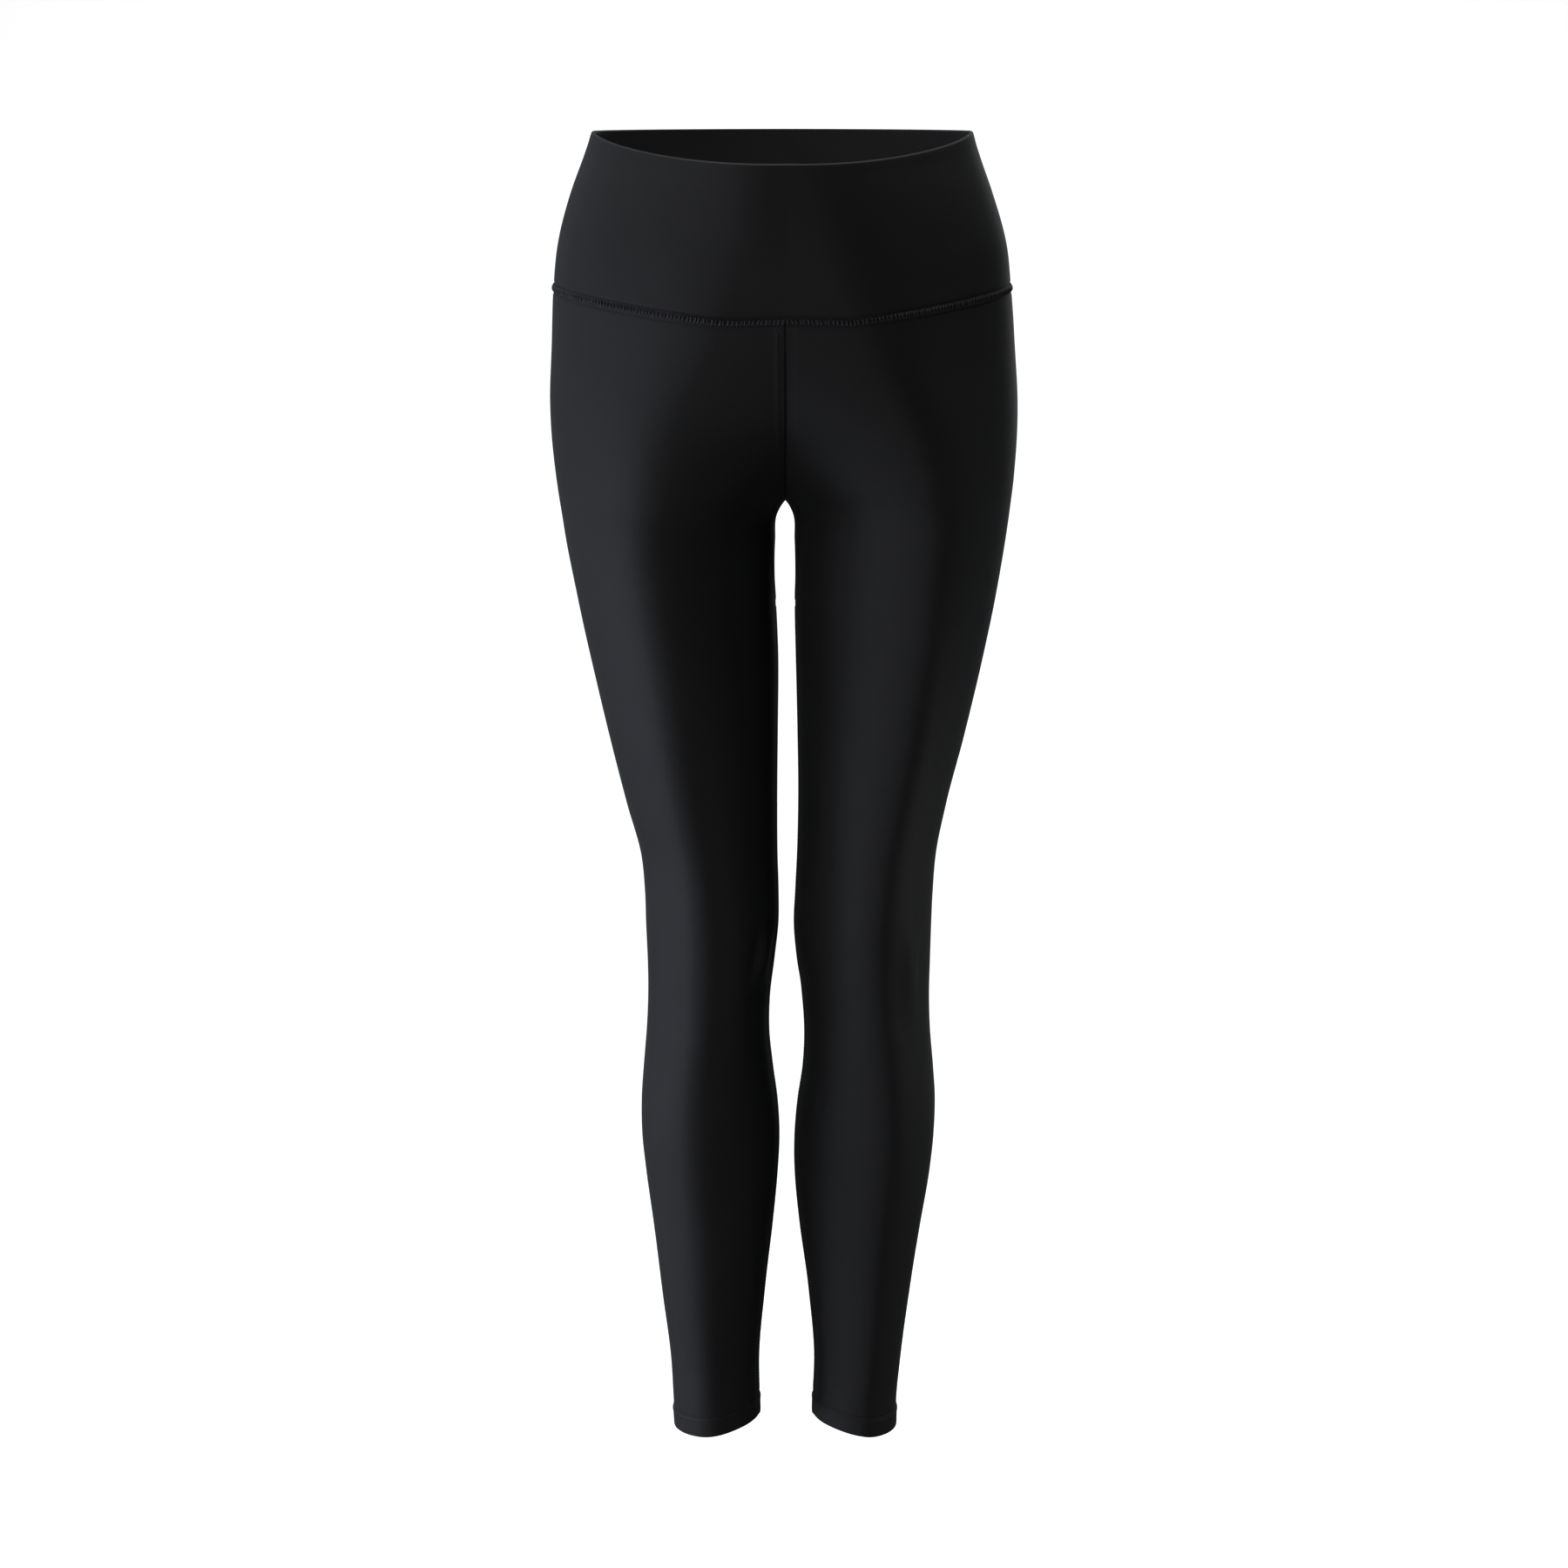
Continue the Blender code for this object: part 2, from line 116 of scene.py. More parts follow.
# Soft creases, no two alike. A trough has a low ridge beside it, and a depth below 0 is a ridge.
# The turn is in degrees, from the inseam round by the front. The angle turns a crease from level,
# and the bow curves it.
CREASES = (
    # leg, drop, turn, length, angle, bow, width, depth
    (RIGHT, 555, 47, 54, 81, 2, 3.4, 2.4),
    (RIGHT, 560, 31, 56, 84, -2, 8.0, -2.6),
    (RIGHT, 590, 40, 34, 40, 3, 6.0, 0.7),
    (RIGHT, 607, 62, 46, 24, -3, 6.0, 0.5),
    (RIGHT, 548, 120, 52, -18, 4, 8.0, 0.5),
    (LEFT, 571, 24, 58, -34, 4, 9.0, 1.3),
    (LEFT, 575, 131, 74, 86, 4, 6.0, -0.9),
    (LEFT, 604, 118, 40, 60, 3, 6.0, 0.6),
    (LEFT, 552, 70, 44, -14, 3, 7.0, 0.35),
    (RIGHT, 556, 262, 86, 6, 6, 6.5, 2.2),
    (RIGHT, 571, 236, 48, -14, -3, 4.5, 1.2),
    (RIGHT, 584, 286, 78, -10, 5, 7.0, 1.8),
    (RIGHT, 541, 300, 42, 17, 3, 5.0, 0.9),
    (RIGHT, 603, 258, 56, 8, -4, 6.0, 0.8),
    (LEFT, 560, 284, 84, -8, 6, 7.0, 2.1),
    (LEFT, 588, 258, 74, 9, 4, 6.5, 1.8),
    (LEFT, 546, 248, 46, -16, 3, 4.5, 1.1),
    (LEFT, 574, 308, 38, 22, -3, 5.0, 0.9),
    (LEFT, 611, 276, 50, -12, 3, 6.0, 0.7),
    (RIGHT, 264, 262, 92, 14, 7, 8.0, 2.4),
    (RIGHT, 284, 284, 60, 26, 4, 6.0, 1.1),
    (LEFT, 268, 258, 88, 15, 7, 8.0, 2.3),
    (LEFT, 291, 276, 52, 30, 4, 6.5, 1.0),
    (RIGHT, 246, 44, 46, 38, 4, 6.0, 0.9),
    (RIGHT, 262, 30, 34, 52, 3, 5.0, 0.7),
    (LEFT, 240, 40, 50, 33, 4, 6.5, 0.9),
    (LEFT, 259, 27, 30, 55, -3, 5.0, 0.6),
    (RIGHT, 214, 76, 58, 30, 5, 9.0, 0.35),
    (LEFT, 219, 82, 52, 24, 5, 9.0, 0.35),
    (RIGHT, 848, 250, 40, -12, 3, 5.0, 0.8),
    (RIGHT, 866, 290, 34, 10, 2, 4.5, 0.6),
    (LEFT, 843, 284, 42, 11, 3, 5.0, 0.8),
    (LEFT, 871, 246, 30, -14, 2, 4.5, 0.5),
    (RIGHT, 856, 108, 34, 14, 2, 6.0, 0.3),
    (LEFT, 862, 74, 30, -10, 2, 6.0, 0.3),
)

# Broad swells where the cloth is drawn over the thighs, the knees and the shins, and one hollow.
SWELLS = (
    # leg, drop, turn, reach down, reach round, height
    (RIGHT, 395, 88, 170, 24, 2.2),
    (RIGHT, 542, 87, 40, 20, 2.2),
    (RIGHT, 608, 76, 38, 20, 2.8),
    (RIGHT, 735, 78, 110, 20, 2.6),
    (LEFT, 345, 106, 190, 24, 3.4),
    (LEFT, 545, 58, 58, 13, -2.6),
    (LEFT, 562, 127, 34, 8, 2.4),
    (LEFT, 735, 100, 100, 18, 1.8),
)


def ring_rows(leg):
    """Both tables as one for a leg: drop, middle, outer reach, how far its inner half is drawn in at
    the front and the back, and the Y of the front, the side and the back."""
    rows = []
    for drop, right, left, front, side, back, middle, front_in, back_in in SEAT:
        reach = right if leg == RIGHT else left
        middle = (middle + STANCE * leg * drop / 248) * reach
        rows.append((drop, middle, reach, front_in, back_in, front, side, back))
    for drop, right_out, right_in, left_in, left_out, front, side, back, ridge in LEGS:
        out, inner = (right_out, right_in) if leg == RIGHT else (left_out, left_in)
        middle = inner + (ridge + STANCE * leg) * (out - inner)
        drawn_in = middle / (middle - inner)
        rows.append((drop, middle, out, drawn_in, drawn_in, front, side, back))
    return np.array(rows)


RINGS = {leg: ring_rows(leg) for leg in (RIGHT, LEFT)}
SLOPES = {leg: np.gradient(rows, rows[:, 0], axis=0) for leg, rows in RINGS.items()}


def ring(leg, drop):
    """The level cut at each drop, on a smooth curve through the rows."""
    rows, slopes = RINGS[leg], SLOPES[leg]
    i = np.clip(np.searchsorted(rows[:, 0], drop) - 1, 0, len(rows) - 2)
    step = rows[i + 1, 0] - rows[i, 0]
    t = ((drop - rows[i, 0]) / step)[..., None]
    step = step[..., None]
    value = (
        (2 * t**3 - 3 * t**2 + 1) * rows[i]
        + (t**3 - 2 * t**2 + t) * step * slopes[i]
        + (3 * t**2 - 2 * t**3) * rows[i + 1]
        + (t**3 - t**2) * step * slopes[i + 1]
    )
    return np.moveaxis(value[..., 1:], -1, 0)


def smooth(share):
    share = np.clip(share, 0.0, 1.0)
    return share * share * (3 - 2 * share)


def flank(s):
    """What the flattening leaves of the depth, by the sine of the turn."""
    return np.where(s > 0, 1 - 4 * FLANK * s**2 * (1 - s**2), 1.0)


def on_row(leg, drop, turn):
    """A point of the plain cloth: rows follow the dipped edges above and the leaning hem below."""
    forward = np.maximum(0.0, np.sin(turn))
    top = TOP_DIP * forward**DIP_CURVE
    round_dip = 1 - np.sqrt(1 - np.minimum(1.0, forward) ** 2)
    seam = SEAM_DIP * (SEAM_ROUND * round_dip + (1 - SEAM_ROUND) * forward**DIP_CURVE)
    fading = 1 - smooth((drop - BAND_HEIGHT) / (DIP_END - BAND_HEIGHT))
    dip = np.where(drop < BAND_HEIGHT, top + (seam - top) * drop / BAND_HEIGHT, seam * fading)
    lean = HEM_FORWARD * np.sin(turn) - HEM_OUT * np.cos(turn)
    level = drop + dip + lean * smooth((drop - LEAN_START) / (LENGTH - LEAN_START))
    middle, reach, front_in, back_in, front, side, back = ring(leg, level)
    c, s = np.cos(turn), np.sin(turn)
    half_depth = np.where(s > 0, side - front, back - side) * flank(s)
    half_width = np.where(c > 0, middle / np.where(s > 0, front_in, back_in), reach - middle)
    return np.stack([leg * (middle - half_width * c), side - half_depth * s, -level], axis=-1)


def place(leg, drop, turn):
    """Points of the plain cloth and the outward normals there."""
    drop, turn = np.broadcast_arrays(np.asarray(drop, float), np.asarray(turn, float))
    across = on_row(leg, drop, turn + STEP) - on_row(leg, drop, turn - STEP)
    down = on_row(leg, drop + STEP, turn) - on_row(leg, drop - STEP, turn)
    normal = leg * np.cross(down, across)
    return on_row(leg, drop, turn), normal / np.linalg.norm(normal, axis=-1, keepdims=True)


def root(rises_past_zero, low, high):
    """Where a rising function passes zero, for arrays of drops at once."""
    low, high = np.array(low, float), np.array(high, float)
    for _ in range(40):
        middle = (low + high) / 2
        above = rises_past_zero(middle) > 0
        high = np.where(above, middle, high)
        low = np.where(above, low, middle)
    return high


def seam_turn(leg, drop, clearance, front):
    """The turn where a row comes this close to the middle plane, at the front or the back."""
    way = 1 if front else -1
    ends = np.zeros_like(drop), np.full_like(drop, math.pi / 2)
    return way * root(lambda turn: leg * on_row(leg, drop, way * turn)[..., 0] - clearance, *ends)


def crotch_y(drop, front):
    """Y where the two thighs' rounds meet at a drop."""
    _, _, front_in, back_in, front_y, side, back_y = ring(LEFT, np.array(float(drop)))
    drawn_in, edge = (front_in, front_y) if front else (back_in, back_y)
    s = np.sqrt(np.maximum(0.0, 1 - drawn_in**2))
    return side + (edge - side) * s * (flank(s) if front else 1)


THIGH_Y = ring(LEFT, np.array(TIP_THIGH))[5]


def gusset_edge_y(drop, front):
    """Y of the gusset's edge, a straight line in the side view from its tip to the one on the thigh."""
    tip = TIP_FRONT if front else TIP_BACK
    return THIGH_Y + (crotch_y(tip, front) - THIGH_Y) * (TIP_THIGH - drop) / (TIP_THIGH - tip)


def turn_at_y(leg, drop, y):
    """The turn of the inner half of a ring at a Y, below 0 at the back."""
    _, _, _, _, front, side, back = ring(leg, drop)
    share = (side - y) / np.where(y < side, side - front, back - side)
    s = share
    for _ in range(30):
        s = np.clip(share / flank(s), -1, 1)
    return np.arcsin(s)


def leg_edge(leg, drop, front):
    """The turn where a leg's cloth ends at the centre seam, the gusset or the inseam."""
    way = 1 if front else -1
    tip = TIP_FRONT if front else TIP_BACK
    seam = seam_turn(leg, drop, SEAM_GAP / 2, front)
    turn = turn_at_y(leg, drop, gusset_edge_y(drop, front))
    length = np.linalg.norm(on_row(leg, drop, turn + STEP) - on_row(leg, drop, turn - STEP), axis=-1)
    clear = turn + way * SEAM_GAP * 2 * STEP / length
    edge = np.where(drop > tip, way * np.maximum(way * seam, way * clear), seam)
    return np.where(drop >= TIP_THIGH, 0.0, edge)


def round_ring(leg, drop, turn):
    """About how far a turn goes round a leg at a drop, in either direction."""
    cut = ring(leg, np.array(float(drop)))
    radius = (cut[1] - cut[0] + (cut[6] - cut[4]) / 2) / 2
    return radius * ((turn + math.pi) % (2 * math.pi) - math.pi)


def bell(distance, reach=1.0):
    return np.exp(-((distance / reach) ** 2))


def crease(round_way, down, length, angle, bow, width, lip):
    """A trough's depth by the way round and down from its middle, and the low ridge beside it."""
    c, s = math.cos(math.radians(angle)), math.sin(math.radians(angle))
    along = (round_way * c + down * s) / (length / 2)
    across = (down * c - round_way * s - bow * (1 - along**2)) / width
    run = np.where(np.abs(along) < 1, np.cos(np.pi / 2 * along) ** 2, 0.0)
    return run * (bell(across) - lip * bell(across - 1.9))


def creases(leg, drop, turn):
    """How far the creases draw the cloth in."""
    depth = np.zeros(np.broadcast(drop, turn).shape)
    for on_leg, at, middle_turn, length, angle, bow, width, deepest in CREASES:
        if on_leg != leg:
            continue
        round_way = round_ring(leg, at, turn - math.radians(middle_turn))
        depth += deepest * crease(round_way, drop - at, length, angle, bow, width, 0.35)
    for on_leg, at, middle_turn, reach_down, reach_round, height in SWELLS:
        if on_leg != leg:
            continue
        round_way = round_ring(leg, at, turn - math.radians(middle_turn))
        depth -= height * bell(drop - at, reach_down) * bell(round_way, reach_round)
    return depth


def waves(leg, drop, turn, height):
    """Slow unevenness of stretched cloth, the same every time."""
    x = turn * 55.0 * leg
    y = drop + 700.0 * (leg == LEFT)
    low = np.sin(x / 23.0 + 1.3 * np.sin(y / 41.0)) * np.sin(y / 57.0 + 0.8 * np.sin(x / 31.0))
    high = np.sin(x / 9.0 + np.sin(y / 19.0) * 1.7) * np.sin(y / 37.0 + 2.0)
    return height * (low + 0.4 * high)


def rounded_edge(distance, depth, reach):
    """How far a sewn edge turns in."""
    return -depth * np.clip(1 - distance / reach, 0, 1) ** 2


def waist_step(distance, ridge, reach, sunk, sunk_at, sunk_reach):
    """Height of the cloth by its distance from the waist seam: a rounded edge, a ridge over the folded
    allowance, a soft step down to the plain cloth, and the line that the needle row draws in."""
    step = ridge * (1 - smooth((distance - 1.6) / 1.6))
    return rounded_edge(distance, 0.75, reach) + step - sunk * bell(distance - sunk_at, sunk_reach)


def spread(length, edge_spots, middle_spots):
    """Shares of a length, close together at both ends."""
    middle = np.linspace(edge_spots[-1], length - edge_spots[-1], middle_spots + 2)[1:-1]
    return np.concatenate([edge_spots, middle, length - np.array(edge_spots[::-1])]) / length


SEAM_SPOTS = (0.0, 0.3, 0.7, 1.2, 1.9, 2.8, 3.8, 4.9, 6.0, 7.0, 8.0, 9.4)  # from a seam
HEM_SPOTS = (18, 16.5, 15.3, 14.5, 13.9, 13.4, 12.9, 12.3, 11.4, 10, 8, 6, 4, 2.4, 1.2, 0.4, 0)  # up
LEG_TOP = BAND_HEIGHT + SEAM_GAP / 2
LEG_COLUMNS = 84
LEG_ROWS = 260
FOLD_UP = 1.2  # how far over the hem's edge the outer face ends
ALLOWANCE = 2.5  # turned in at the centre seams
ROW_SAMPLES = 721  # for the length along a row

# Heights of the cloth over the seam allowances, and where the centre seams' heights end
CENTRE_RIDGES = {RIGHT: 0.3, LEFT: -0.15}
GUSSET_RIDGE = 0.12
INSEAM_RIDGE = 0.5
WAIST_RIDGE = 0.25
RIDGE_WIDTH = 5.4
RIDGE_FADE = 2.2
CENTRE_END = 205.0


def lengths_along(points):
    """How far along its row each point is."""
    steps = np.linalg.norm(np.diff(points, axis=1), axis=-1)
    return np.concatenate([np.zeros((len(points), 1)), np.cumsum(steps, axis=1)], axis=1)


def cloth_sheet(name, points, uv, sewn_ends=False):
    """A sheet through rows of points, from its lowest row up and anticlockwise seen from above.

    The cloth's thickness goes inwards from the points. With sewn_ends, the ends of a row become one
    where they lie on each other, so the sheet is a tube there.
    """
    rows, columns = points.shape[:2]
    mesh = bmesh.new()
    bmesh.ops.create_grid(mesh, x_segments=columns - 1, y_segments=rows - 1, size=1)
    mesh.verts.ensure_lookup_table()
    flat = points.reshape(-1, 3) * MM
    for vert, point in zip(mesh.verts, flat):
        vert.co = point
    layer = mesh.loops.layers.uv.new("cloth")
    flat_uv = uv.reshape(-1, 2) * MM
    for face in mesh.faces:
        for loop in face.loops:
            loop[layer].uv = flat_uv[loop.vert.index]
    if sewn_ends:
        ends = [mesh.verts[r * columns + c % columns] for r in range(rows) for c in (0, 1, -2, -1)]
        bmesh.ops.remove_doubles(mesh, verts=ends, dist=1e-6)
    data = bpy.data.meshes.new(name)
    mesh.to_mesh(data)
    mesh.free()
    data.shade_smooth()
    sheet = bpy.data.objects.new(name, data)
    bpy.context.scene.collection.objects.link(sheet)
    thickness = sheet.modifiers.new("thickness", "SOLIDIFY")
    thickness.thickness = KNIT * MM
    thickness.offset = -1
    thickness.use_even_offset = False
    return sheet


class Wire:
    """A socket in a material. Sums on it add Math nodes, and node() adds any other node."""

    def __init__(self, tree, socket=None):
        self.tree, self.socket = tree, socket

    def node(self, kind, values, settings=None, out=0):
        made = self.tree.nodes.new("ShaderNode" + kind)
        for name, value in (settings or {}).items():
            setattr(made, name, value)
        for name, value in values.items():
            if isinstance(value, Wire):
                self.tree.links.new(value.socket, made.inputs[name])
            else:
                made.inputs[name].default_value = value
        return Wire(self.tree, made.outputs[out])

    def math(self, operation, *values):
        return self.node("Math", dict(enumerate(values)), {"operation": operation})

    def __add__(self, other):
        return self.math("ADD", self, other)

    def __mul__(self, other):
        return self.math("MULTIPLY", self, other)

    __radd__, __rmul__ = __add__, __mul__

    def noise(self, scale, detail=2.0):
        """Noise on the object's own coordinates, from 0 to 1, with scale in cells per metre."""
        where = self.node("TexCoord", {}, out=3)
        return self.node("TexNoise", {"Vector": where, "Scale": scale, "Detail": detail})

    def mix(self, share, first, second):
        """A mix of two colours."""
        return self.node("Mix", {0: share, 6: first, 7: second}, {"data_type": "RGBA"}, 2)

    def into(self, socket):
        self.tree.links.new(self.socket, socket)


def shader_of(material):
    """An empty node tree with a Principled shader, and a Wire to build on it."""
    material.use_nodes = True
    tree = material.node_tree
    tree.nodes.clear()
    shader = tree.nodes.new("ShaderNodeBsdfPrincipled")
    output = tree.nodes.new("ShaderNodeOutputMaterial")
    tree.links.new(shader.outputs["BSDF"], output.inputs["Surface"])
    return shader, Wire(tree)


WALE = 0.00055  # the knit's columns and loops, in metres
COURSE = 0.00042


def knit(name, colour, roughness, specular, sheen):
    """Fine warp knit: columns of tiny loops, a soft sheen, and faint unevenness in the shine."""
    material = bpy.data.materials.new(name)
    shader, wire = shader_of(material)
    inputs = shader.inputs
    inputs["Specular IOR Level"].default_value = specular
    inputs["Sheen Weight"].default_value = sheen
    inputs["Sheen Roughness"].default_value = 0.45
    inputs["Sheen Tint"].default_value = (0.75, 0.85, 1.0, 1)
    cloud = wire.noise(14.0, 3.0)
    grain = wire.noise(900.0, 2.0)
    darker = tuple(0.82 * part for part in colour) + (1,)
    lighter = tuple(1.18 * part for part in colour) + (1,)
    wire.mix(cloud, darker, lighter).into(inputs["Base Color"])
    (roughness - 0.05 + 0.07 * cloud + 0.05 * grain).into(inputs["Roughness"])
    uv = wire.node("UVMap", {}, {"uv_map": "cloth"})
    around = wire.node("SeparateXYZ", {"Vector": uv})
    along = wire.node("SeparateXYZ", {"Vector": uv}, out=1)
    column = wire.math("ABSOLUTE", wire.math("SINE", around * (math.pi / WALE)))
    loop = wire.math("SINE", along * (2 * math.pi / COURSE) + 2.2 * column)
    height = column * 0.8 + 0.35 * loop + 0.6 * grain
    wire.node("Bump", {"Height": height, "Strength": 0.35, "Distance": 0.00006}).into(inputs["Normal"])
    return material


leg_knit = knit("leg_knit_cloth", (0.0124, 0.0125, 0.0128), 0.60, 0.08, 0.03)


def leg_rows():
    """Drops of the outer face from the hem's fold up to the waist seam, close together near both."""
    seam = [LEG_TOP + spot for spot in SEAM_SPOTS]
    hem = [LENGTH - FOLD_UP - up for up in HEM_SPOTS]
    between = np.linspace(seam[-1], hem[0], LEG_ROWS + 2)[1:-1]
    return np.concatenate([seam, between, hem])[::-1]


def hem_fold(rows_up):
    """The hem's rows: the turned-up layer inside, the fold, and then the outer face."""
    radius = LAYERS / 2
    bottom = rows_up[0]
    inside = [(bottom - up, LAYERS) for up in (14.4, 13.6, 12.5, 10, 8, 6, 4, 2.2, 0.8)]
    fold = []
    for angle in (90, 60, 30, 0, -30, -60):
        a = math.radians(angle)
        fold.append((bottom + radius * math.cos(a), radius + radius * math.sin(a)))
    outside = [(drop, 0.0) for drop in rows_up]
    return inside + fold + outside


def leg_relief(leg, drop, turn, distance, row_depth):
    """How far the cloth stands out from its plain form."""
    out = -creases(leg, drop, turn) + waves(leg, drop, turn, 0.16) * smooth(distance / 20)
    out = out + waist_step(drop - LEG_TOP, WAIST_RIDGE, 1.0, 0.85, 3.0, 0.8)
    at_inseam = smooth((drop - TIP_THIGH + 20) / 40)
    on_centre = 1 - smooth((drop - CENTRE_END) / 25)
    at_gusset = (1 - on_centre) * (1 - at_inseam)
    ridge = CENTRE_RIDGES[leg] * on_centre + GUSSET_RIDGE * at_gusset + INSEAM_RIDGE * at_inseam
    edge = rounded_edge(distance, 0.7 - 0.3 * at_inseam, 1.5)
    out = out + edge + ridge * (1 - smooth((distance - RIDGE_WIDTH) / RIDGE_FADE))
    above_fold = LENGTH - drop
    stitch_line = 0.32 * bell(above_fold - HEM_HEIGHT - 0.3, 0.9)
    double_cloth = 0.7 * smooth((above_fold + 2) / 4) * (1 - smooth((above_fold - 12.5) / 3))
    out = out - stitch_line + double_cloth
    inside = row_depth > 0.01
    return np.where(inside, np.minimum(out, 0.3) * 0.4, out)


class Surface:
    """The finished outer face of a piece, to put stitches on: rows by drop, and a length along each."""

    def __init__(self, drops, along, points, normals, turns):
        order = np.argsort(drops)
        self.drops, self.along = drops[order], along[order]
        self.values = np.concatenate([points, normals], axis=-1)[order]
        self.turns = turns[order]

    def length(self, drop):
        return float(np.interp(drop, self.drops, self.along[:, -1]))

    def at(self, drop, along):
        """The point and normal at a drop and a length along the row, from the end if it is below 0."""
        r = int(np.clip(np.searchsorted(self.drops, drop) - 1, 0, len(self.drops) - 2))
        share = (drop - self.drops[r]) / (self.drops[r + 1] - self.drops[r])
        found = np.zeros(6)
        for row, weight in ((r, 1 - share), (r + 1, share)):
            spot = along if along >= 0 else self.along[row, -1] + along
            found += weight * np.array(
                [np.interp(spot, self.along[row], self.values[row, :, k]) for k in range(6)]
            )
        return found[:3], found[3:] / np.linalg.norm(found[3:])

    def turn_at(self, along):
        """The turn at a length along the top row."""
        return np.interp(along, self.along[0], self.turns[0])


def build_leg(leg, name):
    rows = hem_fold(leg_rows())
    drops = np.array([row[0] for row in rows])
    depths = np.array([row[1] for row in rows])
    on_cloth = np.minimum(drops, LENGTH - 0.01)
    start = leg_edge(leg, on_cloth, True)
    end = 2 * math.pi + leg_edge(leg, on_cloth, False)
    sample = start[:, None] + (end - start)[:, None] * np.linspace(0, 1, ROW_SAMPLES)
    length = lengths_along(on_row(leg, on_cloth[:, None], sample))
    turn = np.empty((len(rows), 2 * len(SEAM_SPOTS) + LEG_COLUMNS))
    place_along = np.empty_like(turn)
    for r in range(len(rows)):
        place_along[r] = spread(length[r, -1], SEAM_SPOTS, LEG_COLUMNS) * length[r, -1]
        turn[r] = np.interp(place_along[r], length[r], sample[r])
    distance = np.minimum(place_along, length[:, -1:] - place_along)
    points, normals = place(leg, drops[:, None], turn)
    relief = leg_relief(leg, drops[:, None], turn, distance, depths[:, None])
    points = points + normals * (relief - depths[:, None])[..., None]
    unrolled = np.where(depths > 0.01, 2 * LENGTH - drops, drops)
    down_cloth = np.broadcast_to(-unrolled[:, None], turn.shape)
    uv = np.stack([place_along - length[:, -1:] / 2, down_cloth], axis=-1)
    # At the centre seams the edges turn in, face to face, as the seam allowance.
    turned_in = []
    for column, tip, way in ((0, TIP_FRONT, 1), (-1, TIP_BACK, -1)):
        on_centre = drops < tip
        points[on_centre, column, 0] = 0.0
        inner = points[:, column].copy()
        inner[:, 1] += way * ALLOWANCE * smooth((tip - 1.0 - drops) / 12.0)
        turned_in.append(inner[:, None])
    with_allowance = np.concatenate([turned_in[0], points, turned_in[1]], axis=1)
    with_uv = np.concatenate([uv[:, :1], uv, uv[:, -1:]], axis=1)
    anticlockwise = leg
    sheet = cloth_sheet(name, with_allowance[:, ::anticlockwise], with_uv[:, ::anticlockwise], True)
    sheet.data.materials.append(leg_knit)
    outer = slice(len(rows) - len(leg_rows()), None)
    return sheet, Surface(drops[outer], place_along[outer], points[outer], normals[outer], turn[outer])


leg_right, right_surface = build_leg(RIGHT, "leg_right_cloth")
leg_left, left_surface = build_leg(LEFT, "leg_left_cloth")
SURFACES = {RIGHT: right_surface, LEFT: left_surface}
for sheet, node in ((leg_right, "leg_right"), (leg_left, "leg_left")):
    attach(sheet, "root")
    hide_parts(node)


# --- The gusset ----------------------------------------------------------------------------------
# A diamond of the same knit that hangs between the thighs like a saddle, so that no seam crosses
# under the crotch. Its tips meet the centre seams and the inseams.

GUSSET_HALF = 24  # columns down each thigh
GUSSET_ROWS = 30  # rows each way from the thigh tips
GUSSET_EDGE = 0.8  # its first and last rows are this far below the tips
LAP = 2.3  # how far its sewn edges go on under the legs' cloth
LAP_DOWN = 0.9
LAP_DEPTH = 1.9
TIP_LAPS = (-6.5, 3.0)  # the same beyond its front and back tips


def parting_drop(leg, y):
    """The drop at which the two thighs part at a Y."""

    def past_middle(drop):
        return leg * on_row(leg, drop, turn_at_y(leg, drop, y))[..., 0]

    return root(past_middle, np.full_like(y, 150.0), np.full_like(y, TIP_THIGH))


def edge_rows(tip):
    """Drops down a gusset's edge from a tip on a centre seam, closer together near it."""
    first = tip + GUSSET_EDGE
    return first + (TIP_THIGH - first) * np.linspace(0, 1, GUSSET_ROWS) ** 1.3


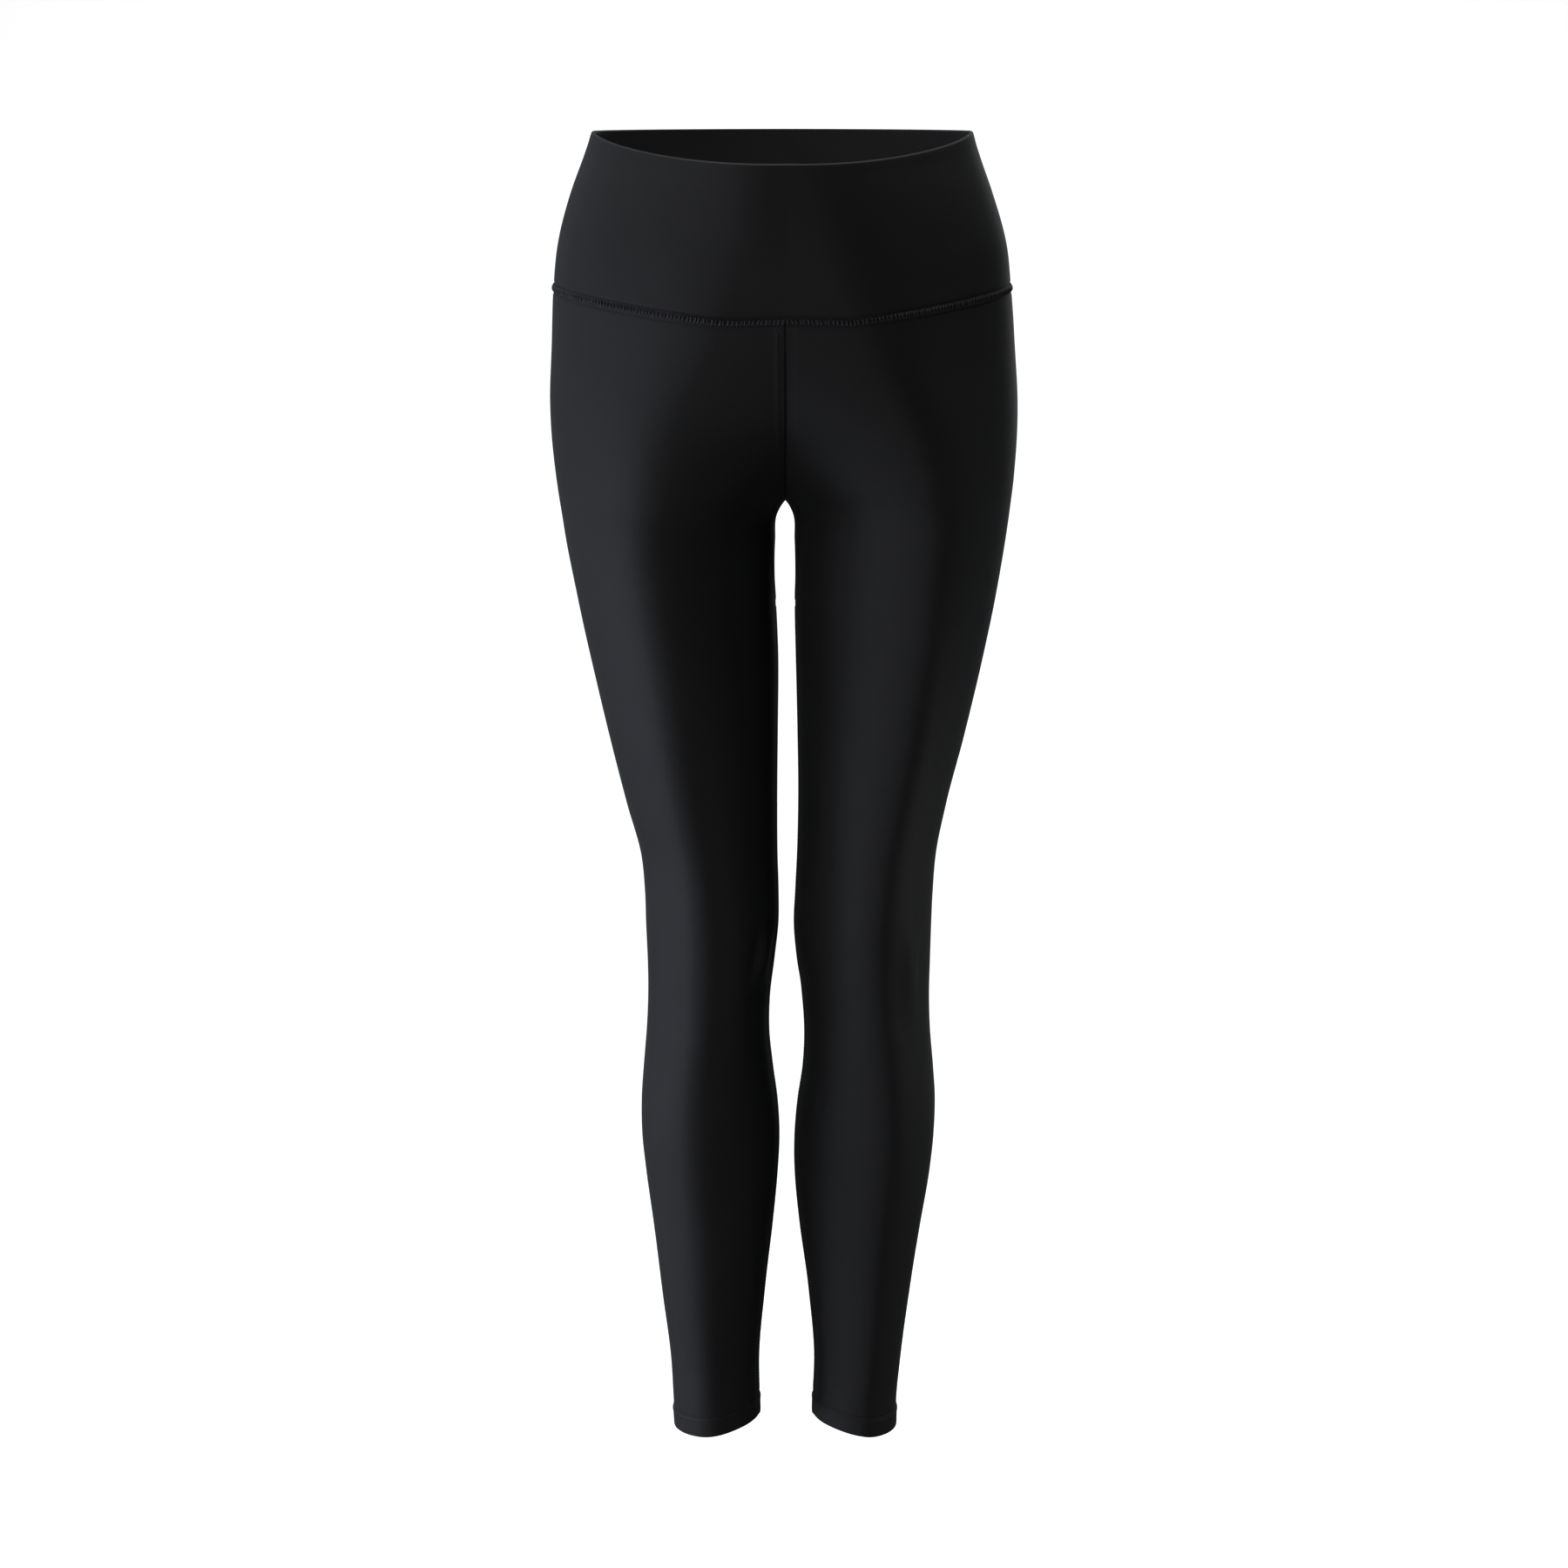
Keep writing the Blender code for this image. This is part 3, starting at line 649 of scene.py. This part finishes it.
def build_gusset():
    edge_drops = np.concatenate([edge_rows(TIP_FRONT), edge_rows(TIP_BACK)[-2::-1]])
    front = np.arange(len(edge_drops)) < GUSSET_ROWS
    y = np.array([float(gusset_edge_y(d, f)) for d, f in zip(edge_drops, front)])
    # One more row beyond each tip goes on under the centre seams.
    tips = y[[0, -1]]
    beyond = tips + TIP_LAPS
    over = edge_drops[[0, -1]] - parting_drop(LEFT, tips) + parting_drop(LEFT, beyond)
    edge_drops = np.concatenate([over[:1], edge_drops, over[1:]])
    y = np.concatenate([beyond[:1], y, beyond[1:]])
    away = np.where(np.arange(len(y)) <= GUSSET_ROWS, -1, 1)
    share = np.linspace(0, 1, GUSSET_HALF + 1)[1:] ** 1.7
    halves = {}
    middle, middle_normal = 0.0, 0.0
    for leg in (LEFT, RIGHT):
        top = parting_drop(leg, y)
        drops = top[:, None] + (edge_drops - SEAM_GAP - top)[:, None] * share
        turns = turn_at_y(leg, drops, y[:, None])
        halves[leg] = place(leg, drops, turns)
        point, normal = place(leg, top, turn_at_y(leg, top, y))
        middle, middle_normal = middle + point / 2, middle_normal + normal
    middle[:, 0], middle[:, 1], middle_normal[:, 0] = 0.0, y, 0.0
    middle_normal /= np.linalg.norm(middle_normal, axis=-1, keepdims=True)
    points, normals = (
        np.concatenate([halves[LEFT][k][:, ::-1], centre[:, None], halves[RIGHT][k]], axis=1)
        for k, centre in ((0, middle), (1, middle_normal))
    )
    along = lengths_along(points)
    distance = np.minimum(along, along[:, -1:] - along)
    ridge = GUSSET_RIDGE * (1 - smooth((distance - RIDGE_WIDTH) / RIDGE_FADE))
    relief = rounded_edge(distance, 0.7, 1.5) + ridge
    relief[[0, -1]] = -LAP_DEPTH
    points = points + normals * relief[..., None]
    laps = []
    for leg in (LEFT, RIGHT):
        drops = edge_drops + LAP_DOWN
        point, normal = place(leg, drops, turn_at_y(leg, drops, y + away * LAP))
        laps.append((point - normal * LAP_DEPTH)[:, None])
    points = np.concatenate([laps[0], points, laps[1]], axis=1)
    along = np.concatenate([along[:, :1] - LAP, along, along[:, -1:] + LAP], axis=1)
    uv = np.stack([along, np.broadcast_to(-y[:, None], along.shape)], axis=-1)
    sheet = cloth_sheet("gusset_cloth", points, uv)
    sheet.data.materials.append(leg_knit)
    return sheet


gusset = build_gusset()
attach(gusset, "root")
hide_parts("gusset")


# --- The waistband -------------------------------------------------------------------------------
# Two bands of a firmer, duller knit, a front and a back, sewn together at the sides. Each is folded
# double along its top edge, so the fold is the garment's edge and the inside is the same cloth.

SIDE_SPOTS = (0.0, 0.4, 0.9, 1.5, 2.4, 3.6, 5.2)  # from a side seam
BAND_SPOTS = (0, 0.3, 0.7, 1.2, 1.9, 2.8, 3.8, 5.0, 6.4)  # up from the waist seam
BAND_COLUMNS = 128
BAND_BOTTOM = BAND_HEIGHT - SEAM_GAP / 2
BAND_RIDGE = 0.25
BRIDGE = 14.0  # how far the cloth bridges the hollow at the middle, to each side
HALF_SAMPLES = 301  # for the length along half a row

BAND_CREASES = (
    # front, drop, shift from the middle, length, angle, width, depth
    (True, 88, -96, 70, 8, 7.0, 0.25),
    (True, 60, 118, 60, -12, 9.0, 0.30),
    (True, 30, -120, 54, 14, 8.0, 0.22),
    (False, 70, 22, 110, -4, 9.0, 0.55),
    (False, 84, -74, 64, 9, 7.0, 0.40),
    (False, 46, 96, 58, -12, 7.0, 0.35),
    (False, 22, -30, 80, 6, 9.0, 0.30),
)

band_knit = knit("band_knit_cloth", (0.0124, 0.0124, 0.0127), 0.64, 0.08, 0.03)


def band_relief(front, drop, shift, from_side, row_depth):
    """How far the band stands out from its plain form."""
    out = waist_step(BAND_BOTTOM - drop, BAND_RIDGE, 1.5, 0.75, 2.9, 0.75)
    out = out + rounded_edge(from_side, 0.45, 1.4)
    for at_front, down, middle, length, angle, width, depth in BAND_CREASES:
        if at_front == front:
            out = out - depth * crease(shift - middle, drop - down, length, angle, 0, width, 0.3)
    if front:
        out = out + 2.0 * bell(shift + 22, 26) * bell(drop - 26, 30)
    over_fold = 0.25 * bell(drop - 3.0, 3.5)
    slow = 0.12 * np.sin(shift / 31.0 + drop / 23.0) * np.sin(shift / 47.0 + 1.0)
    inside = row_depth > 0.01
    return np.where(inside, 0.0, out + over_fold + slow)


def band_rows():
    """The rows from the seam up the outer face, over the fold, and down the inner face."""
    radius = LAYERS / 2
    near_seam = [BAND_BOTTOM - spot for spot in BAND_SPOTS]
    up = list(np.linspace(near_seam[-1], 6.0, 44)[1:]) + [4.6, 3.4, 2.4, 1.7]
    fold = []
    for angle in range(90, -91, -18):
        a = math.radians(angle)
        fold.append((radius - radius * math.cos(a), radius - radius * math.sin(a)))
    outside = [(drop, 0.0) for drop in near_seam + up]
    inside = [(drop, LAYERS) for drop in [2.0, 3.2, 5.0] + list(np.linspace(7.5, BAND_BOTTOM, 34))]
    return outside + fold + inside


def build_band(front, name):
    rows = band_rows()
    drops = np.array([row[0] for row in rows])
    depths = np.array([row[1] for row in rows])
    first, second = (RIGHT, LEFT) if front else (LEFT, RIGHT)
    way = 1 if front else -1
    halves = []
    for leg in (first, second):
        side_gap = SEAM_GAP / 2 / (ring(leg, drops)[5] - ring(leg, drops)[4])
        middle = seam_turn(leg, drops, 0.0, front)
        side = way * (math.pi - side_gap)
        turns = side[:, None] + (middle - side)[:, None] * np.linspace(0, 1, HALF_SAMPLES)
        halves.append(turns if leg == first else turns[:, ::-1])
    legs = np.repeat([first, second], HALF_SAMPLES)
    turns = np.concatenate(halves, axis=1)
    line = np.where(
        (legs == first)[None, :, None],
        on_row(first, drops[:, None], turns),
        on_row(second, drops[:, None], turns),
    )
    length = lengths_along(line)
    middle_at = (length[:, HALF_SAMPLES - 1] + length[:, HALF_SAMPLES]) / 2
    columns = 2 * len(SIDE_SPOTS) + BAND_COLUMNS
    along, points, normals = np.empty((len(rows), columns)), [], []
    for r in range(len(rows)):
        along[r] = spread(length[r, -1], SIDE_SPOTS, BAND_COLUMNS) * length[r, -1]
        before = along[r] <= middle_at[r]
        turn = np.where(
            before,
            np.interp(along[r], length[r, :HALF_SAMPLES], turns[r, :HALF_SAMPLES]),
            np.interp(along[r], length[r, HALF_SAMPLES:], turns[r, HALF_SAMPLES:]),
        )
        a, b = place(first, drops[r], turn), place(second, drops[r], turn)
        points.append(np.where(before[:, None], a[0], b[0]))
        normals.append(np.where(before[:, None], a[1], b[1]))
    points, normals = np.array(points), np.array(normals)
    # The two sides' rounds meet in a faint hollow at the middle, which whole cloth bridges.
    x = points[..., 0]
    beside = np.abs(x) + 100.0 * (np.abs(x) < 8.0)
    slope = np.take_along_axis(normals, beside.argmin(axis=1)[:, None, None], axis=1)
    slope = np.abs(slope[..., 0] / slope[..., 1])
    points[..., 1] -= way * slope * (np.sqrt(x**2 + BRIDGE**2) - np.abs(x))
    blend = np.clip(np.abs(x) / BRIDGE, 0, 1)
    normals[..., 0] *= blend
    normals /= np.linalg.norm(normals, axis=-1, keepdims=True)
    shift = along - middle_at[:, None]
    from_side = np.minimum(along, along[:, -1:] - along)
    relief = band_relief(front, drops[:, None], shift, from_side, depths[:, None])
    points = points + normals * (relief - depths[:, None])[..., None]
    unrolled = np.where(depths > LAYERS / 2, drops, -drops)
    uv = np.stack([shift, np.broadcast_to(unrolled[:, None], shift.shape)], axis=-1)
    sheet = cloth_sheet(name, points, uv)
    sheet.data.materials.append(band_knit)
    return sheet


for front, name, node in (
    (True, "waistband_front_cloth", "waistband_front"),
    (False, "waistband_back_cloth", "waistband_back"),
):
    band = build_band(front, name)
    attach(band, "root")
    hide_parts(node)


# --- The sewing thread ---------------------------------------------------------------------------
# Soft black polyester thread. Needle threads lie on the cloth in short stitches and dip through it
# at each needle hole, and a cover thread runs to and fro between two rows of them. On the waist
# seam it is a ladder of shinier bundles over dull ones. The ladder's colour is painted lighter than
# the cloth, a painted highlight on its bundles, and the dull thread's colour is painted darker than
# the cloth, painted shade along the seams and in the ladder's gaps.

PITCH = 2.4  # of the stitches
THREAD = 0.19  # radius
SIDES = 6
NEEDLE_HEIGHTS = (-0.45, 0.14, 0.22, 0.22, 0.14)  # over the cloth, along a stitch
COVER_POINTS = 8  # of the cover thread, to a stitch
COVER_HEIGHT = 0.24
COVER_DIP = 0.3  # of the cover thread, at the needle rows
ASKEW = (0.31, 0.47, 0.83)  # a direction that no thread takes
BUNDLE = ((0.06, 0.1), (0.25, 0.42), (0.5, 0.5), (0.75, 0.42), (0.94, 0.1))  # share across, height


def thread_paint(name, darker, lighter, specular):
    material = bpy.data.materials.new(name)
    shader, wire = shader_of(material)
    shader.inputs["Specular IOR Level"].default_value = specular
    shader.inputs["Sheen Weight"].default_value = 0.03
    wire.mix(wire.noise(500.0), darker, lighter).into(shader.inputs["Base Color"])
    (0.4 + 0.15 * wire.noise(1500.0)).into(shader.inputs["Roughness"])
    return material


# The dull thread's colour is painted darker than the cloth: painted shade along every seam and under
# the ladder; its lower shine is real.
dull_painted_shade_thread = thread_paint("dull_painted_shade_thread", (0.006, 0.006, 0.007, 1), (0.012, 0.012, 0.014, 1), 0.15)
# The ladder thread's colour is painted lighter than the cloth, a painted highlight on its bundles; its
# greater shine is real.
shiny_painted_highlight_thread = thread_paint("shiny_painted_highlight_thread", (0.013, 0.013, 0.015, 1), (0.02, 0.02, 0.023, 1), 0.22)


def needle_row(spots):
    """A needle thread's path along an even row of places, as many to a stitch as its heights."""
    heights = np.resize(NEEDLE_HEIGHTS, len(spots))
    heights[-1] = -0.6
    return [point + normal * height for (point, normal), height in zip(spots, heights)]


def stitched(spot, length, offsets, cover=True):
    """Needle rows at the offsets from a seam, and the cover thread between the outer two.

    spot(offset, along) gives the point and the normal there.
    """
    count = max(2, round(length / PITCH))
    pitch = length / count
    places = len(NEEDLE_HEIGHTS)
    paths = []
    for offset in offsets:
        row = [spot(offset, i * pitch / places) for i in range(places * count + 1)]
        paths.append(needle_row(row))
    if cover:
        low, high = min(offsets), max(offsets)
        path = []
        for i in range(COVER_POINTS * count + 1):
            way = (i % COVER_POINTS) / COVER_POINTS
            across = 4 * abs(way - 0.5) - 1  # 1 at one row, -1 at the other
            offset = (low + high) / 2 + np.clip(1.15 * across, -1, 1) * (high - low) / 2
            point, normal = spot(offset, i * pitch / COVER_POINTS)
            path.append(point + normal * (COVER_HEIGHT - COVER_DIP * (abs(across) > 0.99)))
        paths.append(path)
    return paths


def thread_mesh(name, paths, thick=THREAD, material=dull_painted_shade_thread):
    """A piece made of round threads along the paths, each drawn in to a point at its ends."""
    mesh = bmesh.new()
    for path in paths:
        path = np.array(path)
        along = np.gradient(path, axis=0)
        along /= np.linalg.norm(along, axis=1, keepdims=True)
        side = np.cross(along, ASKEW)
        side /= np.linalg.norm(side, axis=1, keepdims=True)
        up = np.cross(side, along)
        made = bmesh.ops.create_grid(mesh, x_segments=SIDES, y_segments=len(path) - 1, size=1)["verts"]
        radius = np.full(len(path), thick)
        radius[0] = radius[-1] = 0.0
        for k, vert in enumerate(made):
            r, c = divmod(k, SIDES + 1)
            turn = 2 * math.pi * (c % SIDES) / SIDES
            vert.co = (path[r] + radius[r] * (math.cos(turn) * side[r] + math.sin(turn) * up[r])) * MM
        bmesh.ops.remove_doubles(mesh, verts=made, dist=1e-7)
    bmesh.ops.recalc_face_normals(mesh, faces=mesh.faces)
    data = bpy.data.meshes.new(name)
    mesh.to_mesh(data)
    mesh.free()
    data.shade_smooth()
    data.materials.append(material)
    thread = bpy.data.objects.new(name, data)
    bpy.context.scene.collection.objects.link(thread)
    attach(thread, "root")
    return thread


FROM_CENTRE = 0.8  # where the waist's rows start and end


def waist_spot(leg):
    """Places beside the joint, on the leg's cloth below it and on the band above it."""
    surface = SURFACES[leg]

    def spot(offset, along):
        if offset > 0:
            return surface.at(LEG_TOP + offset, along + FROM_CENTRE)
        point, normal = place(leg, LEG_TOP + offset, surface.turn_at(along + FROM_CENTRE))
        return point + normal * (BAND_RIDGE - 0.1), normal

    return spot


def ladder(spot, length, low, high, pitch, lift):
    """Short bundles of cover thread side by side, each from one needle row to the other, not quite
    even in their spacing."""
    count = round(length / pitch)
    paths = []
    for i in range(count):
        jitter = 0.12 * math.sin(2.9 * i) + 0.08 * math.sin(7.3 * i)
        along = (i + 0.5 + jitter) * length / count
        (top, top_out), (bottom, bottom_out) = spot(low, along), spot(high, along)
        out = (top_out + bottom_out) / 2
        path = [top - out * 0.5]
        for share, height in BUNDLE:
            path.append(top + (bottom - top) * share + out * (height + lift))
        paths.append(path + [bottom - out * 0.5])
    return paths


waist_paths, waist_ladder, waist_under = [], [], []
for leg in (RIGHT, LEFT):
    round_leg = SURFACES[leg].length(BAND_HEIGHT + 4) - 2 * FROM_CENTRE
    waist_paths += stitched(waist_spot(leg), round_leg, (-2.3, 2.3), cover=False)
    waist_ladder += ladder(waist_spot(leg), round_leg, -1.7, 1.7, pitch=2.7, lift=0.15)
    waist_under += ladder(waist_spot(leg), round_leg, -2.2, 2.2, pitch=1.3, lift=-0.35)
# The ladder's bundles carry the painted highlight, and the dull bundles under them carry painted shade
# in its gaps.
thread_mesh("waist_cover_thread", waist_ladder, thick=0.42, material=shiny_painted_highlight_thread)
thread_mesh("waist_under_thread", waist_under, thick=0.6)
thread_mesh("waist_seam_thread", waist_paths)


# The centre seams have a twin row beside them on one side, which narrows to a row on each side of
# the seam just above the gusset.


def centre_spot(leg, start, front):
    surface = SURFACES[leg]
    return lambda offset, along: surface.at(start + along, offset if front else -offset)


CENTRE_START = BAND_HEIGHT + 7.5
NARROWING = 2.0  # the gap where the rows narrow
centre_paths = []
for front, narrow_from, tip in ((True, 206.0, TIP_FRONT), (False, 196.0, TIP_BACK)):
    twin_row = centre_spot(RIGHT, CENTRE_START, front)
    centre_paths += stitched(twin_row, narrow_from - CENTRE_START, (1.3, 5.3), cover=False)
    for leg in (RIGHT, LEFT):
        run = tip - 1.0 - narrow_from - NARROWING
        single_row = centre_spot(leg, narrow_from + NARROWING, front)
        centre_paths += stitched(single_row, run, (1.3,), cover=False)
thread_mesh("centre_seam_thread", centre_paths)


# The inseam of each leg is a flat seam, its two edges side by side under one cover thread.

INSEAM_START = TIP_THIGH + 4.0
INSEAM_END = LENGTH - HEM_HEIGHT - 3.0


def inseam_spot(leg):
    surface = SURFACES[leg]
    return lambda offset, along: surface.at(INSEAM_START + along, offset)


for leg, name in ((RIGHT, "inseam_right_thread"), (LEFT, "inseam_left_thread")):
    thread_mesh(name, stitched(inseam_spot(leg), INSEAM_END - INSEAM_START, (-2.4, 2.4)))


# The gusset's four edges, with the same flat seam on the leg's side of them.

SLANT = math.hypot(1.0, 0.35)  # the edge's length for each unit of drop


def gusset_spot(leg, tip, way):
    surface = SURFACES[leg]
    return lambda offset, along: surface.at(tip + 1.0 + along / SLANT, way * offset)


gusset_paths = []
for leg in (RIGHT, LEFT):
    for tip, way in ((TIP_FRONT, 1), (TIP_BACK, -1)):
        run = (TIP_THIGH - tip - 2.0) * SLANT
        gusset_paths += stitched(gusset_spot(leg, tip, way), run, (1.3, 4.6))
thread_mesh("gusset_seam_thread", gusset_paths)


# The hems are held by a twin needle row, just below the cut edge inside.


def hem_spot(leg):
    surface = SURFACES[leg]
    return lambda offset, along: surface.at(LENGTH - HEM_HEIGHT + offset, along)


for leg, name in ((RIGHT, "hem_right_thread"), (LEFT, "hem_left_thread")):
    round_hem = SURFACES[leg].length(LENGTH - HEM_HEIGHT)
    thread_mesh(name, stitched(hem_spot(leg), round_hem, (-0.4, 2.2), cover=False))


# --- The studio ----------------------------------------------------------------------------------
# Pale paper that curves up behind, a tall soft light far to the left, weak ones in front, low down
# and behind the edges, and the camera a little above the waist, looking down.

FLOOR = -1.6
BACKDROP = 4.2  # where the floor turns up
TURN_UP = 2.2  # radius of the curve
SWEEP = 10.0  # how far the paper reaches to each side and forwards
WALL = 6.0  # how far it goes on up above the curve
FLOOR_STRIPS, CURVE_STRIPS, WALL_STRIPS = 8, 20, 12
STRIPS = FLOOR_STRIPS + CURVE_STRIPS + WALL_STRIPS

sweep_mesh = bmesh.new()
bmesh.ops.create_grid(sweep_mesh, x_segments=2, y_segments=STRIPS, size=1)
for vert in sweep_mesh.verts:
    across, strip = vert.co.x * SWEEP, (vert.co.y + 1) * STRIPS / 2
    bend = min(1.0, max(0.0, (strip - FLOOR_STRIPS) / CURVE_STRIPS)) * math.pi / 2
    flat = -SWEEP + (SWEEP + BACKDROP) * min(strip, FLOOR_STRIPS) / FLOOR_STRIPS
    vert.co = (across, flat + TURN_UP * math.sin(bend), FLOOR + TURN_UP * (1 - math.cos(bend)))
    vert.co.z += WALL * max(0.0, strip - FLOOR_STRIPS - CURVE_STRIPS) / WALL_STRIPS
sweep_data = bpy.data.meshes.new("studio_paper")
sweep_mesh.to_mesh(sweep_data)
sweep_mesh.free()
sweep_data.shade_smooth()
paper = bpy.data.objects.new("studio_paper", sweep_data)
bpy.context.scene.collection.objects.link(paper)
paper_paint = bpy.data.materials.new("studio_paper")
paper_shader, _ = shader_of(paper_paint)
paper_shader.inputs["Base Color"].default_value = (0.88, 0.88, 0.88, 1)
paper_shader.inputs["Roughness"].default_value = 0.9
paper_shader.inputs["Specular IOR Level"].default_value = 0.1
sweep_data.materials.append(paper_paint)
# The paper throws no light back onto the cloth.
paper.visible_glossy = False
paper.visible_diffuse = False

world = bpy.data.worlds.new("studio")
bpy.context.scene.world = world
world.use_nodes = True
background = world.node_tree.nodes["Background"].inputs
background["Color"].default_value = (1, 1, 1, 1)
background["Strength"].default_value = 0.10

cool, plain = (0.82, 0.85, 1.0), (1, 1, 1)
LIGHTS = (
    # name, place, target, size, power, colour, whether the camera sees it
    ("key", (-2.35, -0.63, 0.1), (0, 0, -0.42), (0.7, 2.4), 30.0, cool, True),
    ("low_left", (-1.59, -0.14, -1.0), (0, 0, -0.7), (0.5, 0.8), 19.5, cool, True),
    ("high_front", (-0.8, -1.39, 0.7), (0, 0, -0.2), (0.5, 0.8), 7.4, plain, True),
    ("low_front", (-0.55, -1.5, -1.0), (0, 0, -0.7), (0.5, 0.8), 5.0, plain, True),
    ("left_rim", (-2.1, 1.1, 0.1), (0, 0, -0.42), (0.5, 2.4), 3.6, cool, True),
    ("inside", (0, -0.02, -0.13), (0, 0, 0.5), (0.16, 0.08), 0.12, plain, False),
    ("low_right", (0.8, -0.1, -0.74), (0, 0, -0.7), (0.2, 0.4), 0.75, plain, False),
    ("by_knee", (0.33, -0.05, -0.56), (0.09, 0, -0.56), (0.08, 0.12), 0.11, plain, False),
    ("behind", (0.9, 2.2, 0.3), (0, 0.1, -0.4), (1.2, 1.6), 9.0, plain, False),
    ("right_rim", (2.42, 0.21, 0.1), (0, 0, -0.42), (0.7, 2.4), 0.3, plain, True),
    ("paper_light", (0, 1.6, 4.2), (0, 4.6, -0.6), (8.0, 2.0), 625, plain, True),
)
for name, place_at, target, size, power, colour, seen in LIGHTS:
    data = bpy.data.lights.new(name, "AREA")
    data.shape = "RECTANGLE"
    data.size, data.size_y = size
    data.energy = power
    data.color = colour
    light = bpy.data.objects.new(name, data)
    light.location = place_at
    aim = Vector(target) - Vector(place_at)
    light.rotation_euler = aim.to_track_quat("-Z", "Y").to_euler()
    light.visible_camera = seen
    bpy.context.scene.collection.objects.link(light)

CAMERA_DOWN = 10.33  # degrees below level
camera_data = bpy.data.cameras.new("camera")
camera_data.lens = 88.1
camera_data.sensor_width = 36
camera = bpy.data.objects.new("camera", camera_data)
camera.location = (-0.0009, -2.60, 0.03)
camera.rotation_euler = (math.radians(90 - CAMERA_DOWN), 0, 0)
bpy.context.scene.collection.objects.link(camera)
bpy.context.scene.camera = camera
bpy.context.scene.view_settings.view_transform = "Standard"
